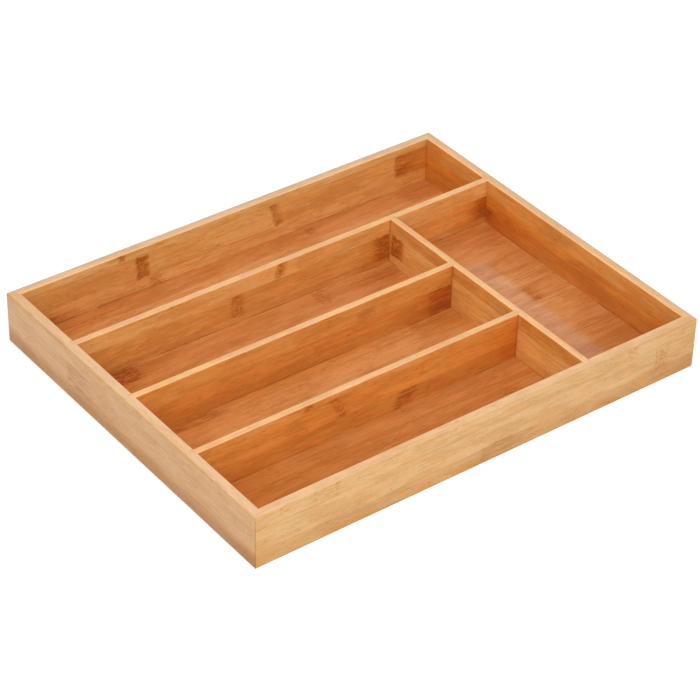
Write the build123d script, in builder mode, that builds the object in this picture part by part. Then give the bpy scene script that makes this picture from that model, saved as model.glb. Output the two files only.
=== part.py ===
"""Bamboo cutlery tray: a mitred frame of four rails on a let-in floor panel, with four housed dividers.

Units are millimetres. The origin is at the centre of the underside: X runs along the tray's length, Y from the
front rail to the back rail, and Z up. The five compartments are a full-length lane at the back, three lanes at the
front left and one wide pocket at the front right.
"""

from build123d import *
import os

# Overall size of the tray
tray_length = 360.0
tray_depth = 290.0
rail_height = 40.0

# Outer rails, and the easing of their edges
rail_thickness = 7.5
corner_radius = 1.0
rail_outer_easing = 2.0
rail_inner_easing = 0.6
rail_foot_easing = 1.5

# Floor panel, let into a rebate along the rails and held clear of the table
floor_thickness = 3.0
floor_recess = 1.5
rebate_width = 4.0
floor_edge_clearance = 0.2

# Dividers, which stand on the floor and finish level with the rails
divider_thickness = 5.0
divider_easing = 0.6
side_pocket_width = 82.5
lanes = 4

# Housings, the shallow slots that take the dividers' ends
rail_housing_depth = 2.0
divider_housing_depth = 1.5
glue_clearance = 0.05

# Loose tongues, glued across the mitres and stopped short of both edges
tongue_width = 5.0
tongue_thickness = 1.5
tongue_cover = 4.0
tongue_place_share = 0.56

# Headed brads, driven up through the floor panel
brad_length = 14.0
brad_radius = 0.6
brad_head_radius = 1.0
brad_head_height = 0.5
brad_point_length = 1.5
brad_clearance = 0.03
brads_per_long_rail_lane = 4
brads_per_back_rail = 5
brads_per_pocket = 3
brads_per_lane_divider = 3

# How far a cutting shape runs past the face that it cuts
overrun = 1.0

# Places that follow from the sizes above
half_length = tray_length / 2
half_depth = tray_depth / 2
inner_half_length = half_length - rail_thickness
inner_half_depth = half_depth - rail_thickness
floor_top = floor_recess + floor_thickness
divider_height = rail_height - floor_top
lane_width = (2 * inner_half_depth - (lanes - 1) * divider_thickness) / lanes
lane_pitch = lane_width + divider_thickness
cross_divider_right = inner_half_length - side_pocket_width
cross_divider_left = cross_divider_right - divider_thickness
lane_centres = [-inner_half_depth + lane_width / 2 + lane * lane_pitch for lane in range(lanes)]
divider_fronts = [centre + lane_width / 2 for centre in lane_centres[:-1]]
long_divider_front = divider_fronts[-1]

# Plan of each divider with its housed ends, as its left, right, front and back
long_divider_plan = (
    -inner_half_length - rail_housing_depth,
    inner_half_length + rail_housing_depth,
    long_divider_front,
    long_divider_front + divider_thickness,
)
cross_divider_plan = (
    cross_divider_left,
    cross_divider_right,
    -inner_half_depth - rail_housing_depth,
    long_divider_front + divider_housing_depth,
)
lane_divider_plans = [
    (
        -inner_half_length - rail_housing_depth,
        cross_divider_left + divider_housing_depth,
        front,
        front + divider_thickness,
    )
    for front in divider_fronts[:-1]
]


def spread(start, end, count):
    """Places at the middle of each of count equal stretches between start and end."""
    return [start + (end - start) * (step + 0.5) / count for step in range(count)]


def board_plan(plan, clearance=0.0):
    """Rectangle of a board's plan in the open sketch, grown all round by a clearance."""
    left, right, front, back = plan
    with Locations(((left + right) / 2, (front + back) / 2)):
        Rectangle(right - left + 2 * clearance, back - front + 2 * clearance)


def brad_section(clearance=0.0):
    """Half section of a brad standing on its head, grown all round by a clearance."""
    with BuildSketch(Plane.XZ) as section:
        with BuildLine():
            Polyline(
                (0, 0),
                (brad_head_radius + clearance, 0),
                (brad_head_radius + clearance, brad_head_height + clearance),
                (brad_radius + clearance, brad_head_height + clearance),
                (brad_radius + clearance, brad_length - brad_point_length),
                (0, brad_length + clearance),
                close=True,
            )
        make_face()
    return section.sketch


# Where the brads stand: under the rails in the middle of the rebate, and under the dividers on their centre lines
long_rail_brad_line = inner_half_depth + rebate_width / 2
short_rail_brad_line = inner_half_length + rebate_width / 2
lane_brads = spread(-inner_half_length, cross_divider_left, brads_per_long_rail_lane)
pocket_middle = (cross_divider_right + inner_half_length) / 2
pocket_brads = spread(-inner_half_depth, long_divider_front, brads_per_pocket)
rail_brad_places = (
    [(x, -long_rail_brad_line, floor_recess) for x in lane_brads + [pocket_middle]]
    + [
        (x, long_rail_brad_line, floor_recess)
        for x in spread(-inner_half_length, inner_half_length, brads_per_back_rail)
    ]
    + [(-short_rail_brad_line, y, floor_recess) for y in lane_centres]
    + [(short_rail_brad_line, y, floor_recess) for y in pocket_brads + [lane_centres[-1]]]
)
divider_brads = spread(-inner_half_length, cross_divider_left, brads_per_lane_divider)
long_divider_brad_places = [
    (x, long_divider_front + divider_thickness / 2, floor_recess)
    for x in divider_brads + [pocket_middle]
]
cross_divider_brad_places = [
    (cross_divider_left + divider_thickness / 2, y, floor_recess) for y in lane_centres[:-1]
]
lane_divider_brad_places = [
    [(x, front + divider_thickness / 2, floor_recess) for x in divider_brads]
    for front in divider_fronts[:-1]
]
divider_brad_places = (
    long_divider_brad_places + cross_divider_brad_places + sum(lane_divider_brad_places, [])
)

os.makedirs("parts", exist_ok=True)

# One brad and the hole that it is driven into
with BuildPart() as brad:
    add(brad_section())
    revolve(axis=Axis.Z)

with BuildPart() as brad_hole:
    add(brad_section(brad_clearance))
    revolve(axis=Axis.Z)

# Corner tongues, each lying across its mitre with its width square to the mitre's plane
tongue_seats = {}
for depth_name, depth_side in (("front", -1), ("back", 1)):
    for length_name, length_side in (("left", -1), ("right", 1)):
        tongue_seats[f"corner_tongue_{depth_name}_{length_name}"] = Plane(
            origin=(
                length_side * (half_length - tongue_place_share * rail_thickness),
                depth_side * (half_depth - tongue_place_share * rail_thickness),
                floor_top + tongue_cover,
            ),
            x_dir=(length_side, -depth_side, 0),
            z_dir=(0, 0, 1),
        )
tongue_length = rail_height - floor_top - 2 * tongue_cover

for tongue_name, seat in tongue_seats.items():
    with BuildPart() as corner_tongue:
        with BuildSketch(seat):
            Rectangle(tongue_width, tongue_thickness)
        extrude(amount=tongue_length)
    corner_tongue.part.label = tongue_name
    export_step(corner_tongue.part, f"parts/{tongue_name}.step")

# The whole frame before it is cut at its mitres: eased edges, rebate, housings, tongue slots and brad holes.
# The top and foot are eased first, while the corners are square, because their easing is the larger one.
with BuildPart() as frame_blank:
    with BuildSketch(Plane.XY):
        Rectangle(tray_length, tray_depth)
        Rectangle(2 * inner_half_length, 2 * inner_half_depth, mode=Mode.SUBTRACT)
    extrude(amount=rail_height)
    top_face = faces().sort_by(Axis.Z)[-1]
    foot_face = faces().sort_by(Axis.Z)[0]
    top_outer_edges = top_face.outer_wire().edges()
    top_inner_edges = top_face.inner_wires()[0].edges()
    foot_outer_edges = foot_face.outer_wire().edges()
    fillet(top_outer_edges, rail_outer_easing)
    fillet(top_inner_edges, rail_inner_easing)
    fillet(foot_outer_edges, rail_foot_easing)
    with BuildSketch(Plane.XY.offset(-overrun)):
        RectangleRounded(tray_length, tray_depth, corner_radius)
    extrude(amount=rail_height + 2 * overrun, mode=Mode.INTERSECT)
    with BuildSketch(Plane.XY.offset(-overrun)):
        Rectangle(2 * (inner_half_length + rebate_width), 2 * (inner_half_depth + rebate_width))
    extrude(amount=floor_top + overrun, mode=Mode.SUBTRACT)
    with BuildSketch(Plane.XY.offset(floor_top)):
        for plan in [long_divider_plan, cross_divider_plan] + lane_divider_plans:
            board_plan(plan, glue_clearance)
    extrude(amount=divider_height + overrun, mode=Mode.SUBTRACT)
    for seat in tongue_seats.values():
        with BuildSketch(seat.offset(-glue_clearance)):
            Rectangle(tongue_width + 2 * glue_clearance, tongue_thickness + 2 * glue_clearance)
        extrude(amount=tongue_length + 2 * glue_clearance, mode=Mode.SUBTRACT)
    with Locations(*rail_brad_places):
        add(brad_hole.part, mode=Mode.SUBTRACT)

# The four rails, cut from the blank by mitres at 45 degrees through its corners
rail_corners = {
    "front_rail": ((-1, -1), (1, -1)),
    "right_rail": ((1, -1), (1, 1)),
    "back_rail": ((1, 1), (-1, 1)),
    "left_rail": ((-1, 1), (-1, -1)),
}
mitre_reach = rail_thickness + overrun

for rail_name, (start, end) in rail_corners.items():
    with BuildPart() as rail:
        add(frame_blank.part)
        with BuildSketch(Plane.XY.offset(-overrun)):
            with BuildLine():
                Polyline(
                    (start[0] * (half_length + overrun), start[1] * (half_depth + overrun)),
                    (end[0] * (half_length + overrun), end[1] * (half_depth + overrun)),
                    (end[0] * (half_length - mitre_reach), end[1] * (half_depth - mitre_reach)),
                    (start[0] * (half_length - mitre_reach), start[1] * (half_depth - mitre_reach)),
                    close=True,
                )
            make_face()
        extrude(amount=rail_height + 2 * overrun, mode=Mode.INTERSECT)
    rail.part.label = rail_name
    export_step(rail.part, f"parts/{rail_name}.step")

# Floor panel, one board under every compartment
with BuildPart() as floor_panel:
    with BuildSketch(Plane.XY.offset(floor_recess)):
        Rectangle(
            2 * (inner_half_length + rebate_width - floor_edge_clearance),
            2 * (inner_half_depth + rebate_width - floor_edge_clearance),
        )
    extrude(amount=floor_thickness)
    with Locations(*rail_brad_places, *divider_brad_places):
        add(brad_hole.part, mode=Mode.SUBTRACT)
floor_panel.part.label = "floor_panel"
export_step(floor_panel.part, "parts/floor_panel.step")

# Long divider, between the back lane and the rest, with a housing for the cross divider's back end
with BuildPart() as long_divider:
    with BuildSketch(Plane.XY.offset(floor_top)):
        board_plan(long_divider_plan)
    extrude(amount=divider_height)
    fillet(edges().filter_by(Axis.X).group_by(Axis.Z)[-1], divider_easing)
    with BuildSketch(Plane.XY.offset(floor_top - overrun)):
        board_plan(cross_divider_plan, glue_clearance)
    extrude(amount=divider_height + 2 * overrun, mode=Mode.SUBTRACT)
    with Locations(*long_divider_brad_places):
        add(brad_hole.part, mode=Mode.SUBTRACT)
long_divider.part.label = "long_divider"
export_step(long_divider.part, "parts/long_divider.step")

# Cross divider, front to back between the lanes and the pocket, with housings for the two lane dividers
with BuildPart() as cross_divider:
    with BuildSketch(Plane.XY.offset(floor_top)):
        board_plan(cross_divider_plan)
    extrude(amount=divider_height)
    fillet(edges().filter_by(Axis.Y).group_by(Axis.Z)[-1], divider_easing)
    with BuildSketch(Plane.XY.offset(floor_top - overrun)):
        for plan in lane_divider_plans:
            board_plan(plan, glue_clearance)
    extrude(amount=divider_height + 2 * overrun, mode=Mode.SUBTRACT)
    with Locations(*cross_divider_brad_places):
        add(brad_hole.part, mode=Mode.SUBTRACT)
cross_divider.part.label = "cross_divider"
export_step(cross_divider.part, "parts/cross_divider.step")

# Two lane dividers, from the left rail to the cross divider
lane_divider_names = ("front_lane_divider", "rear_lane_divider")
for name, plan, brad_places in zip(lane_divider_names, lane_divider_plans, lane_divider_brad_places):
    with BuildPart() as lane_divider:
        with BuildSketch(Plane.XY.offset(floor_top)):
            board_plan(plan)
        extrude(amount=divider_height)
        fillet(edges().filter_by(Axis.X).group_by(Axis.Z)[-1], divider_easing)
        with Locations(*brad_places):
            add(brad_hole.part, mode=Mode.SUBTRACT)
    lane_divider.part.label = name
    export_step(lane_divider.part, f"parts/{name}.step")

# Brads through the floor panel's edge into the rails
with BuildPart() as rail_pins:
    with Locations(*rail_brad_places):
        add(brad.part)
rail_pins.part.label = "rail_pins"
export_step(rail_pins.part, "parts/rail_pins.step")

# Brads through the floor panel into the dividers
with BuildPart() as divider_pins:
    with Locations(*divider_brad_places):
        add(brad.part)
divider_pins.part.label = "divider_pins"
export_step(divider_pins.part, "parts/divider_pins.step")
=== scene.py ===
import bpy
import math
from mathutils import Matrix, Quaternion, Vector


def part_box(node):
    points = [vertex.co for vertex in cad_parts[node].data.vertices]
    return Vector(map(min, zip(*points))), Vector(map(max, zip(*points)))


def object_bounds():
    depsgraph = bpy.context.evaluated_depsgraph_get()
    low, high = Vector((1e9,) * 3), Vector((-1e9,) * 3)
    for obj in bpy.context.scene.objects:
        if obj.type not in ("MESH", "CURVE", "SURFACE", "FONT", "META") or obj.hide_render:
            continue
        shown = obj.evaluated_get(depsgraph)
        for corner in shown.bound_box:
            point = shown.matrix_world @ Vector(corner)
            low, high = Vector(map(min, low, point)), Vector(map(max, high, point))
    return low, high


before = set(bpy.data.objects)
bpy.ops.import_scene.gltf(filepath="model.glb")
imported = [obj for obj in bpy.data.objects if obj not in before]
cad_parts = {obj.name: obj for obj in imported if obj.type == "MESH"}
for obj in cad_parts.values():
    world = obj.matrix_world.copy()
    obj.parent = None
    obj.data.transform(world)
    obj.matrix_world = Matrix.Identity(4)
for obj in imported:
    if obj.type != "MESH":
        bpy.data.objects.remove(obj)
cad_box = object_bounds()


# Front rail. The long outer board nearest the viewer, of flat-pressed bamboo: three strips glued edge to
# edge, with brown brushed scars where the culm had its joints. It is mitred, glued over loose tongues,
# sanded and lacquered, and its sanded sides and top stay paler than its lacquered inner face.

def place(tree, kind, feeds=None, **settings):
    """Adds a shader node. A feed is a socket to link from, or a value to set."""
    made = tree.nodes.new(kind)
    for key, value in settings.items():
        setattr(made, key, value)
    for key, value in (feeds or {}).items():
        if isinstance(value, bpy.types.NodeSocket):
            tree.links.new(value, made.inputs[key])
        else:
            made.inputs[key].default_value = value
    return made


def calc(tree, operation, *values, clamp=False):
    """One step of arithmetic on sockets or numbers."""
    step = place(tree, "ShaderNodeMath", dict(enumerate(values)), operation=operation, use_clamp=clamp)
    return step.outputs[0]


def fade(tree, value, start, end, low=0.0, high=1.0):
    """Eases from low to high while value goes from start to end."""
    feeds = {"Value": value, "From Min": start, "From Max": end, "To Min": low, "To Max": high}
    return place(tree, "ShaderNodeMapRange", feeds, interpolation_type="SMOOTHSTEP").outputs["Result"]


def near(tree, value, middle, reach):
    """1 where value is middle, easing to 0 at reach on both sides of it."""
    away = calc(tree, "ABSOLUTE", calc(tree, "SUBTRACT", value, middle))
    return fade(tree, away, 0.0, reach, 1.0, 0.0)


def largest(tree, values):
    """The largest of several masks."""
    result = values[0]
    for value in values[1:]:
        result = calc(tree, "MAXIMUM", result, value)
    return result


def clouds(tree, point, size, detail=2.0):
    """Cloudy noise from 0 to 1, whose blotches are size = (along, across, depth) metres."""
    stretch = Vector([1.0 / length for length in size])
    scaled = place(tree, "ShaderNodeVectorMath", {0: point, 1: stretch}, operation="MULTIPLY").outputs[0]
    noise = place(tree, "ShaderNodeTexNoise", {"Vector": scaled, "Scale": 1.0, "Detail": detail})
    return noise.outputs["Fac"]


def hue(red, green, blue):
    """A colour as seen on screen, 0 to 255, turned into the linear light that shaders take."""
    linear = [((c / 255 + 0.055) / 1.055) ** 2.4 if c > 10 else c / 255 / 12.92 for c in (red, green, blue)]
    return (*linear, 1.0)


def blend(tree, factor, first, second, mode="MIX"):
    """Mixes two colours by factor, or multiplies the first by the second."""
    made = place(tree, "ShaderNodeMix", data_type="RGBA", blend_type=mode)
    for index, value in ((0, factor), (6, first), (7, second)):
        if isinstance(value, bpy.types.NodeSocket):
            tree.links.new(value, made.inputs[index])
        else:
            made.inputs[index].default_value = value
    return made.outputs[2]


def tint(tree, factor, colour, by):
    """Turns a colour by as much as factor towards itself times by."""
    return blend(tree, factor, colour, blend(tree, 1.0, colour, by, "MULTIPLY"))


def new_group(name, inputs, outputs):
    """An empty shader node group with named inputs and outputs."""
    tree = bpy.data.node_groups.new(name, "ShaderNodeTree")
    for label, kind in inputs.items():
        tree.interface.new_socket(label, in_out="INPUT", socket_type=kind)
    for label, kind in outputs.items():
        tree.interface.new_socket(label, in_out="OUTPUT", socket_type=kind)
    return tree, place(tree, "NodeGroupInput").outputs, place(tree, "NodeGroupOutput").inputs


NUMBER = "NodeSocketFloat"
POINT = "NodeSocketVector"
COLOUR = "NodeSocketColor"


def make_grain_group():
    """Fibres of one strip: Tone from 0, light, to 1, dark; slow Patches; Mottle, a warmer or cooler cast;
    and single Lines, long and dark, Dashes, short and dark, and Glints, short and pale, where fibres were
    cut. Relief is how high each fibre stands.
    """
    band_size = (0.070, 0.0050, 0.0050)
    streak_size = (0.020, 0.0018, 0.0018)
    fibre_size = (0.0085, 0.00050, 0.00050)
    patch_size = (0.040, 0.0120, 0.0120)
    busy_size = (0.040, 0.0130, 0.0130)
    mottle_size = (0.018, 0.0060, 0.0060)
    line_size = (0.100, 0.0011, 0.0020)
    dash_size = (0.0042, 0.00080, 0.0010)
    glint_size = (0.0038, 0.00085, 0.0010)
    cluster_size = (0.022, 0.0080, 0.0080)
    wave_size = (0.120, 0.030, 0.030)
    wave_height = 0.0010
    tree, given, made = new_group("bamboo_grain", {"Point": POINT}, {
        "Tone": NUMBER, "Patches": NUMBER, "Mottle": NUMBER, "Lines": NUMBER, "Dashes": NUMBER,
        "Glints": NUMBER, "Relief": NUMBER,
    })
    wave = clouds(tree, given["Point"], wave_size, 1.0)
    lift = calc(tree, "MULTIPLY", calc(tree, "SUBTRACT", wave, 0.5), wave_height)
    shift = place(tree, "ShaderNodeCombineXYZ", {"Y": lift}).outputs[0]
    point = place(tree, "ShaderNodeVectorMath", {0: given["Point"], 1: shift}, operation="ADD").outputs[0]
    band = fade(tree, clouds(tree, point, band_size), 0.34, 0.66)
    streak = fade(tree, clouds(tree, point, streak_size), 0.34, 0.66)
    fibre = fade(tree, clouds(tree, point, fibre_size), 0.32, 0.68)
    patch = fade(tree, clouds(tree, point, patch_size), 0.32, 0.68)
    busy = fade(tree, clouds(tree, point, busy_size, 1.0), 0.38, 0.62, 0.40, 1.25)
    fine = calc(tree, "MULTIPLY_ADD", streak, 0.26, calc(tree, "MULTIPLY_ADD", fibre, 0.30, -0.28))
    tone = calc(tree, "MULTIPLY_ADD", fine, busy, 0.28)
    for value, share in ((band, 0.10), (patch, 0.34)):
        tone = calc(tree, "MULTIPLY_ADD", value, share, tone)
    cluster = clouds(tree, point, cluster_size, 1.0)
    dash = fade(tree, clouds(tree, point, dash_size, 1.0), 0.54, 0.68)
    dash = calc(tree, "MULTIPLY", dash, fade(tree, cluster, 0.46, 0.62, 0.15, 1.0))
    glint = fade(tree, clouds(tree, point, glint_size, 1.0), 0.56, 0.70)
    glint = calc(tree, "MULTIPLY", glint, fade(tree, cluster, 0.56, 0.40, 0.25, 1.0))
    tree.links.new(fade(tree, tone, 0.24, 0.76), made["Tone"])
    tree.links.new(patch, made["Patches"])
    tree.links.new(fade(tree, clouds(tree, point, mottle_size, 1.0), 0.34, 0.66), made["Mottle"])
    tree.links.new(fade(tree, clouds(tree, point, line_size, 1.0), 0.60, 0.72), made["Lines"])
    tree.links.new(dash, made["Dashes"])
    tree.links.new(glint, made["Glints"])
    relief = calc(tree, "MULTIPLY_ADD", streak, 0.4, calc(tree, "MULTIPLY", fibre, 0.6))
    tree.links.new(relief, made["Relief"])
    return tree


def make_joint_group():
    """The scar where a joint of the culm crosses one strip, painted over the strip's Colour.

    A soft line comes first, leaning a little. Rows of brown flecks fill the Length after it and thin out
    over the Tail, in a stained patch, towards the Way that it faces. Bars edge the patch along the strip's
    two sides, and Brush drags its flecks out along the fibres. Beyond is how the strip's colour changes
    past the joint.
    """
    waver = 0.0035
    waver_size = (0.030, 0.0090, 0.0080)
    ragged_size = (0.0040, 0.0030, 0.0040)
    stain_size = (0.0050, 0.0035, 0.0040)
    gap_size = (0.0060, 0.0024, 0.0030)
    bar_size = (0.0045, 0.0018, 0.0030)
    brush_width = 0.0012
    brush_stretch = 4.0
    line_width = 0.0028
    softness = 0.35
    tree, given, made = new_group(
        "culm_joint",
        {"Colour": COLOUR, "Point": POINT, "Place": NUMBER, "Level": NUMBER, "Half Width": NUMBER,
         "Length": NUMBER, "Tail": NUMBER, "Fleck": NUMBER, "Row": NUMBER, "Way": NUMBER, "Lean": NUMBER,
         "Line": NUMBER, "Bars": NUMBER, "Spots": NUMBER, "Brush": NUMBER, "Stain": NUMBER,
         "Strength": NUMBER, "Stain Tint": COLOUR, "Fleck Tint": COLOUR, "Beyond": COLOUR},
        {"Colour": COLOUR},
    )
    along, across, depth = place(tree, "ShaderNodeSeparateXYZ", {0: given["Point"]}).outputs
    swing = calc(tree, "SUBTRACT", clouds(tree, given["Point"], waver_size, 1.0), 0.5)
    aloft = calc(tree, "SUBTRACT", across, given["Level"])
    gone = calc(tree, "MULTIPLY_ADD", aloft, given["Lean"], calc(tree, "SUBTRACT", along, given["Place"]))
    gone = calc(tree, "MULTIPLY_ADD", swing, waver, calc(tree, "MULTIPLY", gone, given["Way"]))
    aside = calc(tree, "ABSOLUTE", calc(tree, "DIVIDE", aloft, given["Half Width"]))
    ragged = calc(tree, "SUBTRACT", clouds(tree, given["Point"], ragged_size, 1.0), 0.5)
    inside = fade(tree, calc(tree, "MULTIPLY_ADD", ragged, 0.5, aside), 0.90, 1.10, 1.0, 0.0)

    past = fade(tree, gone, -0.0015, 0.0015)
    past = calc(tree, "MULTIPLY", past, fade(tree, aside, 0.98, 1.12, 1.0, 0.0))
    colour = tint(tree, past, given["Colour"], given["Beyond"])

    end = calc(tree, "ADD", given["Length"], given["Tail"])
    soft_end = calc(tree, "MULTIPLY", given["Fleck"], softness)
    begun = fade(tree, gone, calc(tree, "MULTIPLY", soft_end, -1.0), soft_end)
    full = calc(tree, "MULTIPLY", given["Length"], 0.8)
    crowd = calc(tree, "MULTIPLY", begun, fade(tree, gone, full, end, 1.0, 0.0))
    patchy = fade(tree, clouds(tree, given["Point"], stain_size, 1.0), 0.30, 0.70, 0.50, 1.0)
    stain = calc(tree, "MULTIPLY", calc(tree, "MULTIPLY", crowd, patchy), inside)
    stain = calc(tree, "MULTIPLY", stain, given["Stain"])
    stain = calc(tree, "MULTIPLY", stain, given["Strength"], clamp=True)
    colour = tint(tree, stain, colour, given["Stain Tint"])

    cell = place(tree, "ShaderNodeCombineXYZ", {
        0: calc(tree, "DIVIDE", along, given["Fleck"]),
        1: calc(tree, "DIVIDE", across, given["Row"]),
    }).outputs[0]
    cells = place(tree, "ShaderNodeTexVoronoi", {"Vector": cell, "Scale": 1.0, "Randomness": 0.85},
                  voronoi_dimensions="2D").outputs["Distance"]
    spots = fade(tree, calc(tree, "MULTIPLY_ADD", crowd, -0.42, cells), 0.10, -0.18)
    spots = calc(tree, "MULTIPLY", spots, fade(tree, crowd, 0.0, 0.25))
    spots = calc(tree, "MULTIPLY", spots, given["Spots"])
    brush_point = place(tree, "ShaderNodeCombineXYZ", {
        0: calc(tree, "DIVIDE", along, calc(tree, "MULTIPLY", given["Fleck"], brush_stretch)),
        1: calc(tree, "DIVIDE", across, brush_width),
        2: calc(tree, "DIVIDE", depth, brush_width),
    }).outputs[0]
    hairs = place(tree, "ShaderNodeTexNoise", {"Vector": brush_point, "Scale": 1.0, "Detail": 1.0})
    brush = calc(tree, "MULTIPLY", fade(tree, hairs.outputs["Fac"], 0.46, 0.66), crowd)
    brush = calc(tree, "MULTIPLY", brush, given["Brush"])

    broken = fade(tree, clouds(tree, given["Point"], gap_size, 1.0), 0.34, 0.56, 0.40, 1.0)
    line = calc(tree, "MULTIPLY", near(tree, gone, 0.0, line_width), broken)
    line = calc(tree, "MULTIPLY", line, fade(tree, aside, 0.35, 0.90, 0.70, 1.0))
    line = calc(tree, "MULTIPLY", line, given["Line"])
    bars = fade(tree, clouds(tree, given["Point"], bar_size, 1.0), 0.34, 0.52, 0.25, 1.0)
    bars = calc(tree, "MULTIPLY", bars, calc(tree, "MULTIPLY", crowd, near(tree, aside, 0.80, 0.30)))
    bars = calc(tree, "MULTIPLY", bars, given["Bars"])
    dark = calc(tree, "MULTIPLY", largest(tree, (spots, brush, line, bars)), inside)
    dark = calc(tree, "MULTIPLY", dark, given["Strength"], clamp=True)
    colour = tint(tree, dark, colour, given["Fleck Tint"])
    tree.links.new(colour, made["Colour"])
    return tree


def make_arris_group():
    """How near a point is to one of its board's arrises: 1 on the arris, 0 past Width."""
    tree, given, made = new_group(
        "arris",
        {"Position": POINT, "Low": POINT, "High": POINT, "Width": NUMBER},
        {"Edge": NUMBER},
    )
    position = given["Position"]
    below = place(tree, "ShaderNodeVectorMath", {0: given["Low"], 1: position}, operation="SUBTRACT")
    above = place(tree, "ShaderNodeVectorMath", {0: position, 1: given["High"]}, operation="SUBTRACT")
    sides = {0: below.outputs[0], 1: above.outputs[0]}
    outside = place(tree, "ShaderNodeVectorMath", sides, operation="MAXIMUM")
    x, y, z = place(tree, "ShaderNodeSeparateXYZ", {0: outside.outputs[0]}).outputs
    pairs = [calc(tree, "MINIMUM", *pair) for pair in ((x, y), (y, z), (x, z))]
    inwards = calc(tree, "MULTIPLY", given["Width"], -1.0)
    tree.links.new(fade(tree, largest(tree, pairs), inwards, 0.0), made["Edge"])
    return tree


def make_mitre_group():
    """The thin glue line where two rails meet at 45 degrees, at any of the frame's four corners."""
    tree, given, made = new_group(
        "mitre_glue_line",
        {"Position": POINT, "Offset": NUMBER, "Width": NUMBER},
        {"Line": NUMBER},
    )
    x, y, z = place(tree, "ShaderNodeSeparateXYZ", {0: given["Position"]}).outputs
    across = calc(tree, "SUBTRACT", calc(tree, "ABSOLUTE", x), calc(tree, "ABSOLUTE", y))
    away = calc(tree, "ABSOLUTE", calc(tree, "SUBTRACT", across, given["Offset"]))
    tree.links.new(fade(tree, away, 0.0, given["Width"], 1.0, 0.0), made["Line"])
    return tree


grain_group = make_grain_group()
joint_group = make_joint_group()
arris_group = make_arris_group()
mitre_group = make_mitre_group()

# Tints that turn a strip's own colour into those of its fibres, its scars and its glued joints, and into
# painted shade and painted highlight.
plain = (1.0, 1.0, 1.0, 1.0)
light_fibre = (1.09, 1.15, 1.29, 1.0)
dark_fibre = (0.90, 0.82, 0.67, 1.0)
warm_cast = (1.04, 0.95, 0.82, 1.0)
cool_cast = (0.98, 1.02, 1.12, 1.0)
line_tint = (0.76, 0.60, 0.42, 1.0)
dash_tint = (0.76, 0.60, 0.38, 1.0)
glint_tint = (1.14, 1.24, 1.50, 1.0)
face_stain = (0.79, 0.57, 0.30, 1.0)
face_fleck = (0.64, 0.44, 0.18, 1.0)
edge_stain = (0.95, 0.86, 0.64, 1.0)
edge_fleck = (0.72, 0.60, 0.34, 1.0)
# Painted shade, deeper colour in soft ovals where walls and corners shade a face.
shade_oval_tint = (0.86, 0.72, 0.36, 1.0)
seam_tint = (0.74, 0.60, 0.44, 1.0)
# Painted shade, for the crevices where boards meet and for the feet of walls.
crevice_shade_tint = (0.60, 0.42, 0.24, 1.0)
# Painted highlight along the top arrises, with a little wear.
worn_highlight_tint = (1.07, 1.06, 1.08, 1.0)
low_tint = (0.95, 0.89, 0.54, 1.0)
# Painted shade along the foot of the outer faces.
foot_shade_tint = (0.82, 0.77, 0.66, 1.0)
face_gloss = 0.9
edge_gloss = 0.4

floor_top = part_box("floor_panel")[1].z
tray_top = cad_box[1][2]
mitre_offset = cad_box[1][0] - cad_box[1][1]


def culm_joint(at, level, half_width, strength, length=0.007, tail=0.005, fleck=0.0034, row=0.0022, way=1.0,
               lean=0.0, line=1.0, bars=0.0, spots=1.0, brush=0.3, stain=1.0, beyond=plain):
    """One joint's scar: where it starts along the board, the middle and half of the strip that it crosses
    and how dark it is; how long its flecked part, its tail and a fleck are, and how far apart its rows;
    which way it runs and how its line leans; how strong its line, bars, flecks, brushing and stain are; and
    the tint of the strip beyond it.
    """
    return {
        "Place": at, "Level": level, "Half Width": half_width, "Length": length, "Tail": tail,
        "Fleck": fleck, "Row": row, "Way": way, "Lean": lean, "Line": line, "Bars": bars, "Spots": spots,
        "Brush": brush, "Stain": stain, "Strength": strength, "Beyond": beyond,
    }


def painted_shade_ovals(tree, run, rise, colour, shade_ovals):
    """Deepens a face's colour in soft ovals: painted shade near the walls and corners that shade it, and on
    the floor a painted reflection of the walls.
    """
    for at, level, reach, height, depth in shade_ovals:
        sideways = calc(tree, "DIVIDE", calc(tree, "SUBTRACT", run, at), reach)
        upright = calc(tree, "DIVIDE", calc(tree, "SUBTRACT", rise, level), height)
        away = calc(tree, "MULTIPLY_ADD", sideways, sideways, calc(tree, "MULTIPLY", upright, upright))
        colour = tint(tree, fade(tree, calc(tree, "SQRT", away), 1.0, 0.0, 0.0, depth), colour, shade_oval_tint)
    return colour


def strip_colours(tree, rise, low_end, high_end, seams, strips, soft):
    """The strips' own colours, one above the other, softened by soft where they meet."""
    span = high_end - low_end
    height = calc(tree, "DIVIDE", calc(tree, "SUBTRACT", rise, low_end), span)
    ramp = place(tree, "ShaderNodeValToRGB", {"Fac": height})
    stops = ramp.color_ramp.elements
    stops.remove(stops[1])
    stops[0].color = strips[0]
    for seam, below, above in zip(seams, strips, strips[1:]):
        stops.new((seam - soft - low_end) / span).color = below
        stops.new((seam + soft - low_end) / span).color = above
    return ramp.outputs["Color"]


def scarred(tree, point, colour, joints, stain, fleck):
    """Adds the scars of a face's culm joints to its colour."""
    for joint in joints:
        scar = place(tree, "ShaderNodeGroup", node_tree=joint_group)
        tree.links.new(colour, scar.inputs["Colour"])
        tree.links.new(point, scar.inputs["Point"])
        scar.inputs["Stain Tint"].default_value = stain
        scar.inputs["Fleck Tint"].default_value = fleck
        for label, value in joint.items():
            scar.inputs[label].default_value = value
        colour = scar.outputs["Colour"]
    return colour


seam_soft = 0.0009


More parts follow.
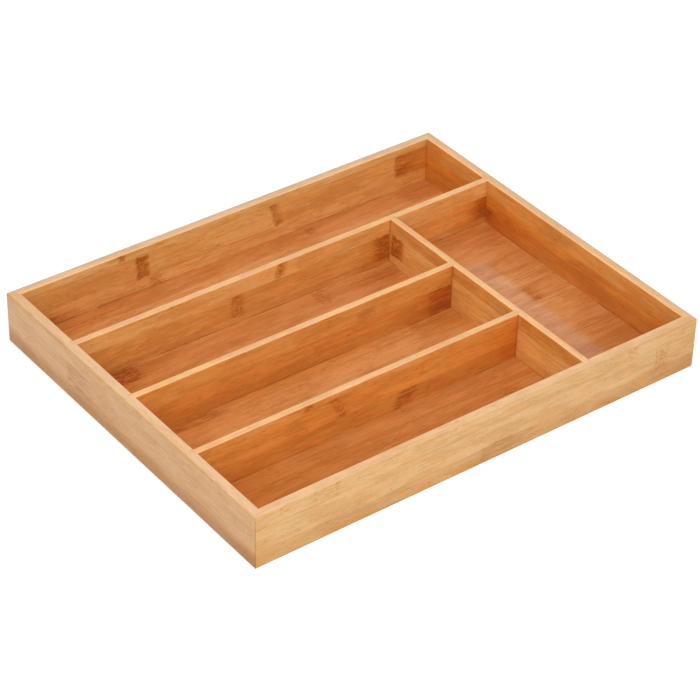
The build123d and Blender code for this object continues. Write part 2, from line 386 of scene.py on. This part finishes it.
def bamboo(board, along, across, seams, inner, edge, outer=None, outward=None, inner_joints=(),
           outer_joints=(), inner_shade_ovals=(), outer_shade_ovals=(), meets=(), rim_light=(plain, plain),
           outer_contrast=0.65, outer_soft=seam_soft, outer_wave=0.0, coat_roughness=0.11, coat_ior=1.58,
           seed=0.0):
    """Lacquered bamboo for one board.

    along and across are the axes that its fibres run along and its strips lie across, and seams are where
    its strips meet. inner and outer hold a colour for each strip, from the lowest. edge holds two tones
    that come and go along its top. outward is the axis and the sign of its outer side. meets are the places
    along it where another board is glued to its face, each with the side of it, -1 or 1, or 0 for both, and
    painted shade darkens the crevice at each.
    The rim tints are a rail's top's painted light: painted shade at its outer arris, greyed by a painted
    reflection on some rails, and painted highlight at its inner one. outer_contrast is how much its fibres
    show outside, and outer_soft and outer_wave are how softly and how crookedly its strips meet there. The
    joints are its scars and the shade ovals its ovals of painted shade, inside and outside.
    coat_roughness and coat_ior belong to the lacquer, and seed gives it fibres of its own.
    """
    low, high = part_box(board)
    low_end = getattr(low, across.lower())
    high_end = getattr(high, across.lower())
    material = bpy.data.materials.new(f"{board}_bamboo")
    material.use_nodes = True
    tree = material.node_tree
    tree.nodes.clear()
    coordinates = place(tree, "ShaderNodeTexCoord").outputs
    position, normal = coordinates["Object"], coordinates["Normal"]
    axes = dict(zip("XYZ", place(tree, "ShaderNodeSeparateXYZ", {0: position}).outputs))
    facing = dict(zip("XYZ", place(tree, "ShaderNodeSeparateXYZ", {0: normal}).outputs))
    depth_axis = ({"X", "Y", "Z"} - {along, across}).pop()
    run, rise, depth = axes[along], axes[across], axes[depth_axis]
    point = place(tree, "ShaderNodeCombineXYZ", {"X": run, "Y": rise, "Z": depth}).outputs[0]

    swell_size = (0.045, 0.030, 0.030)
    top_size = (0.010, 0.0030, 0.0030)
    crevice_shade_reach = 0.0018
    foot_shade_reach = 0.0016
    seam_reach = 0.0006
    arris_width = 0.0011
    mitre_width = 0.0010
    cast_share = 0.55
    line_share = 0.35
    dash_share = 0.75
    glint_share = 0.60
    top_contrast = 0.50
    top_dash_share = 0.35
    top_glint_share = 0.50

    # Each strip has fibres of its own, so the grain jumps along by a step at each seam.
    step = 0.37
    jump = seed
    for seam in seams:
        jump = calc(tree, "MULTIPLY_ADD", calc(tree, "GREATER_THAN", rise, seam), step, jump)
    shift = place(tree, "ShaderNodeCombineXYZ", {"X": jump}).outputs[0]
    own_point = place(tree, "ShaderNodeVectorMath", {0: point, 1: shift}, operation="ADD").outputs[0]
    grain = place(tree, "ShaderNodeGroup", node_tree=grain_group)
    tree.links.new(own_point, grain.inputs["Point"])
    tone, patches, mottle, lines, dashes, glints, relief = grain.outputs
    fibres = blend(tree, tone, light_fibre, dark_fibre)
    cast = blend(tree, mottle, warm_cast, cool_cast)
    seam_line = largest(tree, [near(tree, rise, seam, seam_reach) for seam in seams]) if seams else 0.0
    seam_line = calc(tree, "MULTIPLY", seam_line, fade(tree, patches, 0.2, 0.9, 0.0, 0.5))

    def face(strips, joints, shade_ovals, stain, fleck, contrast, soft, wave):
        swell = calc(tree, "SUBTRACT", clouds(tree, point, swell_size, 1.0), 0.5)
        wavy = calc(tree, "MULTIPLY_ADD", swell, wave, rise)
        colour = strip_colours(tree, wavy, low_end, high_end, seams, strips, soft)
        colour = tint(tree, contrast, colour, fibres)
        colour = tint(tree, cast_share, colour, cast)
        colour = tint(tree, calc(tree, "MULTIPLY", lines, contrast * line_share), colour, line_tint)
        colour = tint(tree, calc(tree, "MULTIPLY", dashes, dash_share), colour, dash_tint)
        colour = tint(tree, calc(tree, "MULTIPLY", glints, glint_share), colour, glint_tint)
        # Painted shade in soft ovals.
        colour = painted_shade_ovals(tree, run, rise, colour, shade_ovals)
        colour = scarred(tree, point, colour, joints, stain, fleck)
        return tint(tree, seam_line, colour, seam_tint)

    colour = face(inner, inner_joints, inner_shade_ovals, face_stain, face_fleck, 1.0, seam_soft, 0.0)
    # Painted shade in the crevice where another board meets this face, on one side of it or both.
    for meet, side in meets:
        painted_crevice = calc(tree, "MULTIPLY", near(tree, run, meet, crevice_shade_reach), 0.45)
        if side:
            there = fade(tree, calc(tree, "MULTIPLY", facing[depth_axis], side), 0.3, 0.7)
            painted_crevice = calc(tree, "MULTIPLY", painted_crevice, there)
        colour = tint(tree, painted_crevice, colour, crevice_shade_tint)
    # Painted shade along the foot of a wall, where it stands on the floor panel.
    if across == "Z":
        foot_shade_line = near(tree, axes["Z"], floor_top, foot_shade_reach)
        foot_shade_line = calc(tree, "MULTIPLY", foot_shade_line, fade(tree, patches, 0.2, 0.8, 0.15, 0.85))
        colour = tint(tree, foot_shade_line, colour, crevice_shade_tint)

    coat = face_gloss
    if outward:
        out = calc(tree, "MULTIPLY", facing[outward[0]], outward[1])
        outside = fade(tree, out, 0.3, 0.7)
        outer_colour = face(outer, outer_joints, outer_shade_ovals, edge_stain, edge_fleck, outer_contrast,
                            outer_soft, outer_wave)
        if across == "Z":
            low_down = fade(tree, axes["Z"], 0.0010, 0.0110, 1.0, 0.0)
            low_down = calc(tree, "MULTIPLY", low_down, fade(tree, mottle, 1.0, 0.0, 0.3, 1.4))
            outer_colour = tint(tree, low_down, outer_colour, low_tint)
        colour = blend(tree, outside, colour, outer_colour)
        coat = fade(tree, outside, 0.0, 1.0, face_gloss, edge_gloss)

    if across == "Z":
        tones = fade(tree, clouds(tree, own_point, top_size, 1.0), 0.38, 0.62)
        top_colour = blend(tree, tones, edge[0], edge[1])
        top_colour = tint(tree, top_contrast, top_colour, fibres)
        top_colour = tint(tree, calc(tree, "MULTIPLY", dashes, top_dash_share), top_colour, dash_tint)
        top_colour = tint(tree, calc(tree, "MULTIPLY", glints, top_glint_share), top_colour, glint_tint)
        on_edge = fade(tree, calc(tree, "ABSOLUTE", facing["Z"]), 0.15, 0.60)
        worn_highlight_share = 0.7
        if outward:
            sides = [getattr(corner, outward[0].lower()) for corner in (low, high)]
            start, end = sides if outward[1] < 0 else reversed(sides)
            inwards = fade(tree, axes[outward[0]], start, end)
            # Painted light across the top: a painted highlight towards the inner arris, painted shade
            # towards the outer one.
            top_colour = tint(tree, 1.0, top_colour, blend(tree, inwards, *rim_light))
            on_edge = calc(tree, "MINIMUM", on_edge, fade(tree, out, 0.25, 0.95, 1.0, 0.1))
            worn_highlight_share = fade(tree, outside, 0.0, 1.0, worn_highlight_share, 0.0)
        colour = blend(tree, on_edge, colour, top_colour)
        # Painted highlight along the top arrises, fading out towards the outer face, with a little wear.
        arris = place(tree, "ShaderNodeGroup", node_tree=arris_group)
        tree.links.new(position, arris.inputs["Position"])
        arris.inputs["Low"].default_value = low
        arris.inputs["High"].default_value = high
        arris.inputs["Width"].default_value = arris_width
        high_up = fade(tree, axes["Z"], tray_top - 0.0030, tray_top - 0.0010)
        worn_highlight = calc(tree, "MULTIPLY", calc(tree, "MULTIPLY", arris.outputs["Edge"], high_up), worn_highlight_share)
        colour = tint(tree, worn_highlight, colour, worn_highlight_tint)
        coat = calc(tree, "MINIMUM", coat, fade(tree, on_edge, 0.0, 1.0, face_gloss, edge_gloss))

    if outward and across == "Z":
        mitre = place(tree, "ShaderNodeGroup", node_tree=mitre_group)
        tree.links.new(position, mitre.inputs["Position"])
        mitre.inputs["Offset"].default_value = mitre_offset
        mitre.inputs["Width"].default_value = mitre_width
        below_top = fade(tree, axes["Z"], tray_top - 0.0040, tray_top - 0.0005, 0.80, 0.10)
        colour = tint(tree, calc(tree, "MULTIPLY", mitre.outputs["Line"], below_top), colour, seam_tint)
        # Painted shade along the foot of the outer face.
        colour = tint(tree, fade(tree, axes["Z"], 0.0, 0.0026, 1.0, 0.0), colour, foot_shade_tint)

    height = calc(tree, "SUBTRACT", relief, calc(tree, "MULTIPLY", seam_line, 1.5))
    bump = place(tree, "ShaderNodeBump", {"Height": height, "Strength": 0.25, "Distance": 0.00010})
    shader = place(tree, "ShaderNodeBsdfPrincipled", {
        "Base Color": colour,
        "Roughness": fade(tree, tone, 0.2, 0.8, 0.40, 0.54),
        "Coat Weight": coat,
        "Normal": bump.outputs["Normal"],
    })
    shader.inputs["Coat Roughness"].default_value = coat_roughness
    shader.inputs["Coat IOR"].default_value = coat_ior
    shader.inputs["Specular IOR Level"].default_value = 0.3
    output = place(tree, "ShaderNodeOutputMaterial")
    tree.links.new(shader.outputs["BSDF"], output.inputs["Surface"])
    return material


def dress(board, material):
    """Gives a CAD board its finished material."""
    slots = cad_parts[board].data.materials
    slots.clear()
    slots.append(material)


rail_edge = (hue(238, 191, 138), hue(234, 186, 141))
# Painted light for the rails' tops: a painted highlight at the inner arris and a little painted shade at
# the outer arris, greyer on the back and right rails as a painted reflection.
pale_rim_light = ((0.95, 0.97, 0.95, 1.0), (1.06, 1.03, 1.02, 1.0))
grey_rim_light = ((0.82, 0.92, 0.98, 1.0), (1.14, 1.04, 0.92, 1.0))
dress("front_rail", bamboo(
    "front_rail", "X", "Z", (0.0120, 0.0295),
    inner=(hue(220, 148, 78), hue(222, 156, 84), hue(226, 168, 94)),
    # The outer strips are darker than the top partly as painted shade, for sides that get less light than
    # the top.
    outer=(hue(196, 145, 82), hue(206, 158, 96), hue(209, 161, 99)),
    edge=(hue(238, 190, 134), hue(233, 184, 136)), outward=("Y", -1.0), rim_light=pale_rim_light, seed=1.3,
    # Painted shade low down towards the ends of the outer face.
    outer_shade_ovals=(
        (0.1750, 0.0030, 0.110, 0.018, 0.75),
        (0.1800, 0.0250, 0.080, 0.028, 0.40),
    ),
    outer_joints=(
        culm_joint(0.1440, 0.0203, 0.0085, 0.85, length=0.010, tail=0.005, fleck=0.0030, row=0.0030,
                   line=0.0, spots=0.9, brush=0.3, stain=0.6),
        culm_joint(0.1190, 0.0342, 0.0050, 0.45, fleck=0.0026, row=0.0024, line=0.0, brush=0.2, stain=1.4),
        culm_joint(-0.1185, 0.0342, 0.0050, 0.55, length=0.001, tail=0.026, fleck=0.0060, row=0.0020,
                   way=-1.0, line=0.9, spots=0.3, brush=0.4, stain=0.5),
        culm_joint(-0.0040, 0.0072, 0.0060, 1.10, length=0.022, tail=0.018, fleck=0.0060, line=0.0,
                   bars=0.5, spots=0.3, brush=0.8, stain=1.4),
    ),
    inner_joints=(
        culm_joint(-0.0900, 0.0207, 0.0088, 0.80, bars=0.5),
        culm_joint(0.0300, 0.0345, 0.0050, 0.60, way=-1.0),
    ),
))


# Back rail. The same board on the far side. Its inner face shows three whole strips with dark joint scars.
dress("back_rail", bamboo(
    "back_rail", "X", "Z", (0.0145, 0.0340),
    inner=(hue(226, 159, 85), hue(225, 160, 86), hue(230, 177, 103)),
    outer=(hue(196, 145, 82), hue(206, 158, 96), hue(209, 161, 99)),
    edge=(hue(234, 193, 148), hue(229, 189, 151)), outward=("Y", 1.0), rim_light=grey_rim_light, seed=4.1,
    inner_shade_ovals=(
        (-0.1725, 0.0060, 0.050, 0.012, 0.35),
        (0.1725, 0.0120, 0.050, 0.024, 0.70),
    ),
    inner_joints=(
        culm_joint(-0.0800, 0.0240, 0.0086, 1.15, length=0.0085, tail=0.0020, fleck=0.0036, row=0.0030,
                   bars=0.7, spots=0.65, brush=0.3, stain=1.5, beyond=(1.05, 1.16, 1.22, 1.0)),
        culm_joint(-0.0700, 0.0092, 0.0048, 0.75, length=0.0040, tail=0.0120, fleck=0.0050, line=0.7,
                   brush=0.6, beyond=(1.09, 1.19, 1.32, 1.0)),
        culm_joint(-0.1720, 0.0075, 0.0035, 0.90, length=0.0250, tail=0.0350, fleck=0.0200, line=0.0,
                   brush=0.8),
        culm_joint(-0.0950, 0.0372, 0.0026, 0.80, length=0.0040, tail=0.0020),
        culm_joint(0.0345, 0.0246, 0.0092, 0.95, length=0.0030, tail=0.0060, fleck=0.0034, row=0.0034,
                   lean=0.26, bars=0.9, spots=0.3, brush=0.1, stain=0.7, beyond=(0.965, 0.87, 0.78, 1.0)),
        culm_joint(0.1440, 0.0250, 0.0084, 1.00, length=0.0040, tail=0.0210, fleck=0.0060, row=0.0026,
                   line=0.9, bars=0.4, spots=0.6, brush=1.3, stain=0.5, beyond=(0.96, 0.81, 0.58, 1.0)),
    ),
    outer_joints=(
        culm_joint(0.0620, 0.0242, 0.0096, 0.50, length=0.012, tail=0.024, fleck=0.0070, way=-1.0, line=0.3,
                   spots=0.4, brush=0.8, stain=0.6),
        culm_joint(-0.1210, 0.0072, 0.0070, 0.45, tail=0.020, fleck=0.0080),
    ),
))


# Left rail. The short board on the left, a little greyer and pinker outside than the front one, and darker
# there as painted shade, for a side that gets less light.
dress("left_rail", bamboo(
    "left_rail", "Y", "Z", (0.0110, 0.0285),
    inner=(hue(220, 148, 78), hue(222, 156, 84), hue(226, 168, 94)),
    outer=(hue(176, 120, 39), hue(196, 146, 87), hue(199, 149, 89)),
    edge=rail_edge, outward=("X", -1.0), rim_light=pale_rim_light, outer_contrast=0.45, outer_soft=0.0032,
    outer_wave=0.0080, seed=7.9,
    # Painted shade low down at both ends of the outer face, and faintly all along its lower part.
    outer_shade_ovals=(
        (0.1450, 0.0020, 0.065, 0.016, 0.90),
        (-0.1450, 0.0020, 0.110, 0.016, 0.85),
        (0.0000, 0.0110, 0.250, 0.010, 0.28),
    ),
    outer_joints=(
        culm_joint(0.0690, 0.0198, 0.0082, 1.10, length=0.018, tail=0.014, fleck=0.0030, row=0.0024,
                   way=-1.0, line=0.0, spots=0.2, brush=1.1, stain=0.6),
        culm_joint(-0.0140, 0.0345, 0.0040, 0.30, way=-1.0, line=0.4),
    ),
    inner_joints=(
        culm_joint(0.0200, 0.0198, 0.0086, 0.80),
    ),
))


# Right rail. Closes the side pocket. Its inner face has long dark streaks and no joint in view.
dress("right_rail", bamboo(
    "right_rail", "Y", "Z", (0.0190, 0.0270),
    inner=(hue(212, 126, 38), hue(229, 144, 49), hue(228, 155, 72)),
    outer=(hue(193, 141, 80), hue(205, 155, 95), hue(208, 160, 99)),
    edge=rail_edge, outward=("X", 1.0), rim_light=grey_rim_light, seed=11.2,
    inner_shade_ovals=(
        (0.0700, 0.0100, 0.050, 0.024, 0.70),
    ),
    inner_joints=(
        culm_joint(0.0570, 0.0230, 0.0042, 0.60, length=0.020, tail=0.025, fleck=0.0160, way=-1.0, line=0.0,
                   spots=0.3, brush=1.0, stain=0.4),
        culm_joint(0.0665, 0.0130, 0.0052, 0.50, length=0.004, tail=0.004, fleck=0.0036, way=-1.0, line=0.2,
                   spots=0.8, brush=0.5, stain=0.9),
        culm_joint(-0.0200, 0.0230, 0.0042, 0.50, length=0.040, tail=0.040, fleck=0.0160, way=-1.0,
                   line=0.0, spots=0.3, brush=1.0, stain=0.4),
    ),
    outer_joints=(
        culm_joint(-0.0500, 0.0230, 0.0040, 0.60),
        culm_joint(0.0900, 0.0335, 0.0060, 0.45, way=-1.0),
    ),
))


# Corner tongues. Thin loose strips glued across each mitre, hidden when the tray is whole.
for corner in ("front_left", "front_right", "back_left", "back_right"):
    board = f"corner_tongue_{corner}"
    dress(board, bamboo(board, "Z", "X", (), inner=(hue(222, 182, 132),), edge=rail_edge, seed=13.0))


# Floor panel. One thin flat-pressed board that all five compartments share, with its fibres lengthwise. It
# is let into the rails from below and bradded, and its underside was left bare.
floor_strip = 0.0190
middle_seam = -0.0110
floor_seams = [middle_seam + floor_strip * count for count in range(-6, 8)]
dark_strips = (hue(200, 124, 60), hue(197, 120, 56), hue(203, 127, 58), hue(209, 134, 68))
floor_tones = (hue(220, 148, 82), hue(215, 140, 77), hue(224, 153, 88))
bare_tones = (hue(222, 184, 136), hue(214, 174, 126), hue(226, 190, 144))
floor_order = [(strip * strip) % 3 + (strip % 2) for strip in range(len(floor_seams) + 1)]
floor_top_strips = list(dark_strips) + [floor_tones[order % 3] for order in floor_order[len(dark_strips):]]
dress("floor_panel", bamboo(
    "floor_panel", "X", "Y", floor_seams,
    inner=floor_top_strips,
    outer=[bare_tones[order % 3] for order in floor_order],
    edge=rail_edge, outward=("Z", -1.0), coat_roughness=0.12, coat_ior=1.8, seed=17.5,
    inner_joints=(
        culm_joint(0.0600, 0.1310, 0.0040, 0.60, length=0.005, tail=0.004),
        culm_joint(0.1450, 0.1240, 0.0065, 0.60, length=0.020, tail=0.010, fleck=0.0100, line=0.0,
                   spots=0.3, brush=1.0, stain=0.5),
        culm_joint(-0.1490, 0.0600, 0.0072, 1.20, length=0.012, tail=0.014, fleck=0.0070, line=0.3,
                   brush=0.8, stain=1.1),
        culm_joint(0.0150, 0.0585, 0.0080, 0.45, length=0.008, tail=0.008, fleck=0.0050, line=0.2,
                   brush=0.6),
        culm_joint(0.0480, 0.0560, 0.0065, 0.55, length=0.035, tail=0.015, fleck=0.0140, line=0.0,
                   spots=0.2, brush=1.0, stain=0.3),
        culm_joint(-0.1480, -0.0065, 0.0045, 1.00, length=0.030, tail=0.024, fleck=0.0120, line=0.0,
                   spots=0.5, brush=1.0, stain=0.8),
        culm_joint(0.0480, -0.0065, 0.0042, 0.70, length=0.030, tail=0.012, fleck=0.0120, line=0.0,
                   spots=0.3, brush=1.0, stain=0.5),
        culm_joint(0.1385, -0.0215, 0.0085, 1.00, length=0.002, tail=0.012, fleck=0.0060, line=0.1,
                   spots=0.3, brush=1.0, stain=0.9),
        culm_joint(0.1400, -0.0020, 0.0100, 0.55, length=0.018, tail=0.014, fleck=0.0100, line=0.0,
                   spots=0.2, brush=1.0, stain=0.1),
        culm_joint(0.1420, -0.0790, 0.0110, 0.45, length=0.016, tail=0.016, fleck=0.0100, line=0.0,
                   spots=0.3, brush=1.0, stain=0.1),
    ),
    # Painted shade and a painted reflection of the walls: darker floor along the walls' feet and in the
    # corners of each compartment.
    inner_shade_ovals=(
        (0.0000, 0.1375, 0.240, 0.018, 0.70),
        (-0.1725, 0.1320, 0.115, 0.036, 1.00),
        (0.1500, 0.1375, 0.090, 0.022, 0.50),
        (-0.0450, 0.0675, 0.160, 0.024, 0.50),
        (-0.1725, 0.0530, 0.105, 0.034, 1.00),
        (0.0850, 0.0540, 0.050, 0.026, 0.60),
        (-0.0450, -0.0025, 0.160, 0.016, 0.90),
        (-0.1725, -0.0100, 0.085, 0.036, 1.00),
        (0.0850, -0.0100, 0.055, 0.036, 0.85),
        (-0.0450, -0.0725, 0.160, 0.018, 0.15),
        (-0.1725, -0.0850, 0.130, 0.050, 1.00),
        (0.1725, -0.0100, 0.034, 0.110, 0.55),
        (0.1700, -0.0840, 0.050, 0.024, 0.40),
        (0.1500, 0.0675, 0.080, 0.018, 0.60),
    ),
    outer_joints=(
        culm_joint(-0.0700, 0.0300, 0.0090, 0.60),
        culm_joint(0.0900, -0.0850, 0.0090, 0.55, way=-1.0),
        culm_joint(0.0100, 0.1050, 0.0090, 0.50),
    ),
))


# Dividers. Thinner boards of the same stock, standing on the floor panel with their ends let into shallow
# housings. Their lacquered faces are deeper in colour than their sanded tops.
divider_edge = (hue(250, 192, 121), hue(243, 184, 133))
dress("long_divider", bamboo(
    "long_divider", "X", "Z", (0.0100, 0.0275),
    inner=(hue(222, 150, 73), hue(232, 153, 72), hue(238, 172, 97)),
    edge=(hue(250, 193, 122), hue(244, 185, 135)), seed=21.0,
    meets=((-0.1725, 0), (0.1725, 0), (0.0850, -1), (0.0900, -1)),
    inner_shade_ovals=(
        (-0.1725, 0.0080, 0.070, 0.020, 0.75),
        (0.0850, 0.0120, 0.044, 0.024, 0.95),
        (0.1725, 0.0140, 0.040, 0.024, 0.90),
        (-0.0085, 0.0345, 0.008, 0.008, 0.80),
    ),
    inner_joints=(
        culm_joint(-0.0120, 0.0345, 0.0060, 0.90, length=0.003, tail=0.008, fleck=0.0030, row=0.0026,
                   lean=-0.25, line=0.5, bars=0.5, spots=0.9, brush=0.5, stain=0.9),
        culm_joint(-0.0500, 0.0187, 0.0088, 0.75, length=0.010, tail=0.004, fleck=0.0034, line=0.5,
                   bars=0.9, spots=0.8, brush=0.1, stain=0.6),
        culm_joint(0.0845, 0.0180, 0.0100, 1.00, length=0.007, tail=0.012, fleck=0.0046, row=0.0030,
                   way=-1.0, line=0.0, spots=0.60, brush=0.6, stain=1.5, beyond=(0.96, 1.05, 1.10, 1.0)),
        culm_joint(0.1570, 0.0175, 0.0080, 0.40, length=0.014, tail=0.006, fleck=0.0120, line=0.0,
                   spots=0.3, brush=0.8),
        culm_joint(0.1735, 0.0185, 0.0084, 0.85, length=0.006, tail=0.008, fleck=0.0050, way=-1.0, line=0.0,
                   spots=0.5, brush=0.7, stain=1.4),
    ),
))
dress("rear_lane_divider", bamboo(
    "rear_lane_divider", "X", "Z", (0.0140, 0.0245),
    inner=(hue(212, 135, 52), hue(224, 142, 57), hue(228, 153, 72)),
    edge=divider_edge, seed=25.0, meets=((-0.1725, 0), (0.0850, 0)),
    inner_shade_ovals=(
        (-0.1725, 0.0080, 0.080, 0.022, 0.60),
        (-0.1000, 0.0270, 0.070, 0.007, 0.40),
        (0.0850, 0.0120, 0.054, 0.024, 1.00),
    ),
    inner_joints=(
        culm_joint(0.0040, 0.0290, 0.0045, 0.65, length=0.010, tail=0.010, fleck=0.0065, line=0.2,
                   spots=0.6, brush=0.8, stain=0.5),
        culm_joint(0.0845, 0.0140, 0.0110, 1.00, length=0.014, tail=0.014, fleck=0.0080, way=-1.0, line=0.0,
                   spots=0.6, brush=0.8, stain=1.2),
    ),
))
dress("front_lane_divider", bamboo(
    "front_lane_divider", "X", "Z", (0.0185, 0.0355),
    inner=(hue(218, 137, 51), hue(237, 153, 65), hue(240, 162, 86)),
    edge=divider_edge, seed=29.0, meets=((-0.1725, 0), (0.0850, 0)),
    inner_shade_ovals=(
        (-0.1725, 0.0045, 0.090, 0.018, 0.60),
        (-0.0680, 0.0270, 0.050, 0.014, 0.55),
        (0.0850, 0.0180, 0.055, 0.026, 0.95),
        (0.0850, 0.0180, 0.024, 0.024, 0.80),
    ),
    inner_joints=(
        culm_joint(-0.0660, 0.0270, 0.0086, 0.75, length=0.003, tail=0.009, fleck=0.0048, row=0.0028,
                   lean=0.55, line=0.8, spots=0.6, brush=0.3, stain=0.8),
        culm_joint(-0.0170, 0.0118, 0.0066, 1.00, length=0.012, tail=0.008, fleck=0.0080, row=0.0022,
                   lean=-0.4, line=0.0, spots=0.6, brush=1.0, stain=0.7, beyond=(0.97, 0.93, 0.88, 1.0)),
        culm_joint(-0.0900, 0.0378, 0.0024, 0.70, length=0.004, tail=0.004),
    ),
))
dress("cross_divider", bamboo(
    "cross_divider", "Y", "Z", (0.0120, 0.0295),
    inner=(hue(240, 177, 94), hue(243, 182, 99), hue(227, 158, 78)),
    edge=divider_edge, seed=33.0,
    meets=((0.0675, 0), (0.0025, -1), (-0.0025, -1), (-0.0675, -1), (-0.0725, -1), (-0.1375, 0)),
    inner_shade_ovals=(
        (-0.1050, 0.0370, 0.050, 0.012, 0.70),
    ),
    inner_joints=(
        culm_joint(0.0650, 0.0203, 0.0084, 1.20, length=0.010, tail=0.006, fleck=0.0032, row=0.0026,
                   way=-1.0, line=0.6, brush=0.9, spots=0.8, stain=1.6),
        culm_joint(-0.0770, 0.0360, 0.0035, 0.45, way=-1.0),
    ),
))


# Brads. Bright steel wire with small flat heads, driven up through the floor panel into the boards above.
def brad_steel():
    material = bpy.data.materials.new("brad_steel")
    material.use_nodes = True
    tree = material.node_tree
    shader = tree.nodes["Principled BSDF"]
    position = place(tree, "ShaderNodeTexCoord").outputs["Object"]
    scratch_size = (0.0004, 0.0004, 0.0020)
    scratches = clouds(tree, position, scratch_size)
    steel = blend(tree, scratches, hue(150, 146, 138), hue(205, 202, 196))
    tree.links.new(steel, shader.inputs["Base Color"])
    tree.links.new(fade(tree, scratches, 0.3, 0.7, 0.22, 0.40), shader.inputs["Roughness"])
    shader.inputs["Metallic"].default_value = 1.0
    return material


brad_finish = brad_steel()
for pins in ("rail_pins", "divider_pins"):
    dress(pins, brad_finish)


# Studio. A white table that glows a little, as a lit sweep does, an even white tent and one soft light in
# front.
table_size = 6.0
half = table_size / 2
mesh = bpy.data.meshes.new("table")
corners = [(-half, -half, 0), (half, -half, 0), (half, half, 0), (-half, half, 0)]
mesh.from_pydata(corners, [], [(0, 1, 2, 3)])
table = bpy.data.objects.new("table", mesh)
bpy.context.scene.collection.objects.link(table)
table_white = bpy.data.materials.new("table_white")
table_white.use_nodes = True
table_shader = table_white.node_tree.nodes["Principled BSDF"]
table_shader.inputs["Base Color"].default_value = (0.85, 0.85, 0.85, 1.0)
table_shader.inputs["Roughness"].default_value = 0.9
table_shader.inputs["Emission Color"].default_value = (1.0, 1.0, 1.0, 1.0)
table_shader.inputs["Emission Strength"].default_value = 0.37
mesh.materials.append(table_white)

tent = bpy.data.worlds.new("tent")
tent.use_nodes = True
tent.node_tree.nodes["Background"].inputs["Color"].default_value = (1.0, 1.0, 1.0, 1.0)
tent.node_tree.nodes["Background"].inputs["Strength"].default_value = 0.63
bpy.context.scene.world = tent

lamp = bpy.data.lights.new("softbox", "AREA")
lamp.size = 1.4
lamp.energy = 23.0
softbox = bpy.data.objects.new("softbox", lamp)
softbox.location = (-0.80, -1.15, 1.65)
softbox.rotation_euler = (-softbox.location).to_track_quat("-Z", "Y").to_euler()
bpy.context.scene.collection.objects.link(softbox)

azimuth = math.radians(-37.602)
elevation = math.radians(36.177)
roll = math.radians(1.409)
distance = 1.7773
target = Vector((0.00247, 0.00308, 0.0))
focal_pixels = 2622.8
picture_width = 700
backwards = Vector((
    math.sin(azimuth) * math.cos(elevation),
    -math.cos(azimuth) * math.cos(elevation),
    math.sin(elevation),
))
camera = bpy.data.objects.new("camera", bpy.data.cameras.new("camera"))
camera.data.sensor_width = 36.0
camera.data.lens = camera.data.sensor_width * focal_pixels / picture_width
camera.location = target + backwards * distance
camera.rotation_mode = "QUATERNION"
camera.rotation_quaternion = backwards.to_track_quat("Z", "Y") @ Quaternion((0.0, 0.0, 1.0), roll)
bpy.context.scene.collection.objects.link(camera)
bpy.context.scene.camera = camera
bpy.context.scene.view_settings.view_transform = "Standard"
